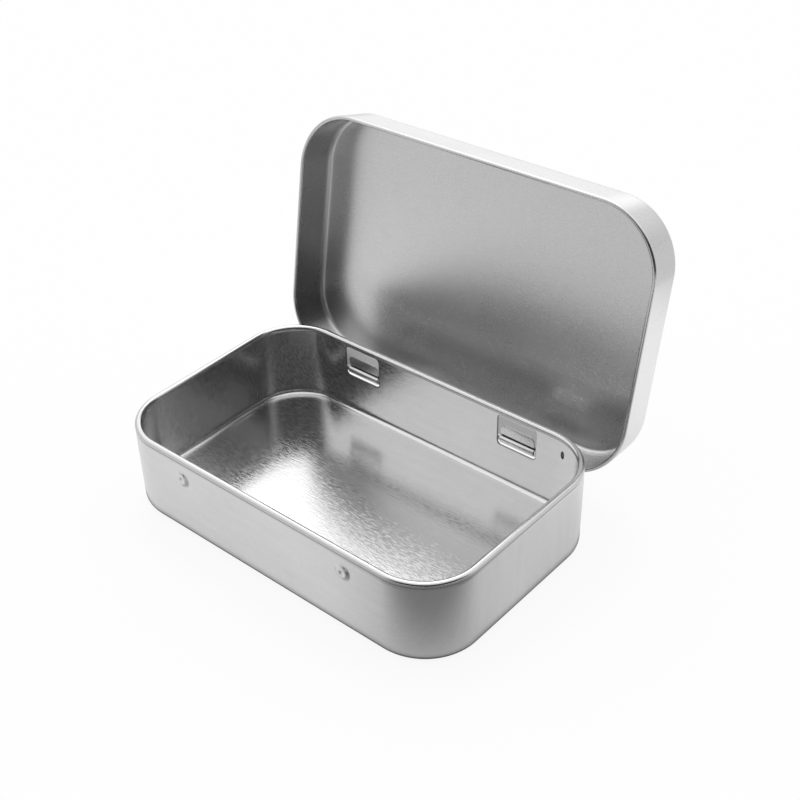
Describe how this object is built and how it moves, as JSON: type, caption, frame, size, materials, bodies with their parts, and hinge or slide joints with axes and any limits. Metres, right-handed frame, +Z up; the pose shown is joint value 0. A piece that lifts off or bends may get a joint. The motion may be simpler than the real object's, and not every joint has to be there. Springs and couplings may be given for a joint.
{
  "type": "mint tin",
  "caption": "Hinged rectangular mint tin of plain satin tinplate, with rounded corners, rolled rims, tongue hinges and an open lid",
  "frame": {"origin": "centre of the tray's flat underside, on the surface that the tin stands on", "axes": "+X along the tin's length, +Y back towards the hinge, +Z up out of the tray's mouth"},
  "size_m": [0.095, 0.0785, 0.0707],
  "materials": {
    "tinplate": "satin",
    "rolled_edge": "burnished"
  },
  "bodies": {
    "tray": {"tray": "tinplate", "tray_rim": "rolled_edge", "hinge_bar_left": "tinplate", "hinge_bar_right": "tinplate"},
    "lid": {"lid": "tinplate", "lid_rim": "rolled_edge", "lid_rim_back": "rolled_edge", "hinge_tongue_left": "tinplate", "hinge_tongue_right": "tinplate"}
  },
  "joints": [
    {"name": "lid_hinge", "type": "hinge", "parent": "tray", "child": "lid", "pos_m": [0, 0.0296, 0.0114], "axis": [1, 0, 0], "range_deg": [0, 100]}
  ]
}
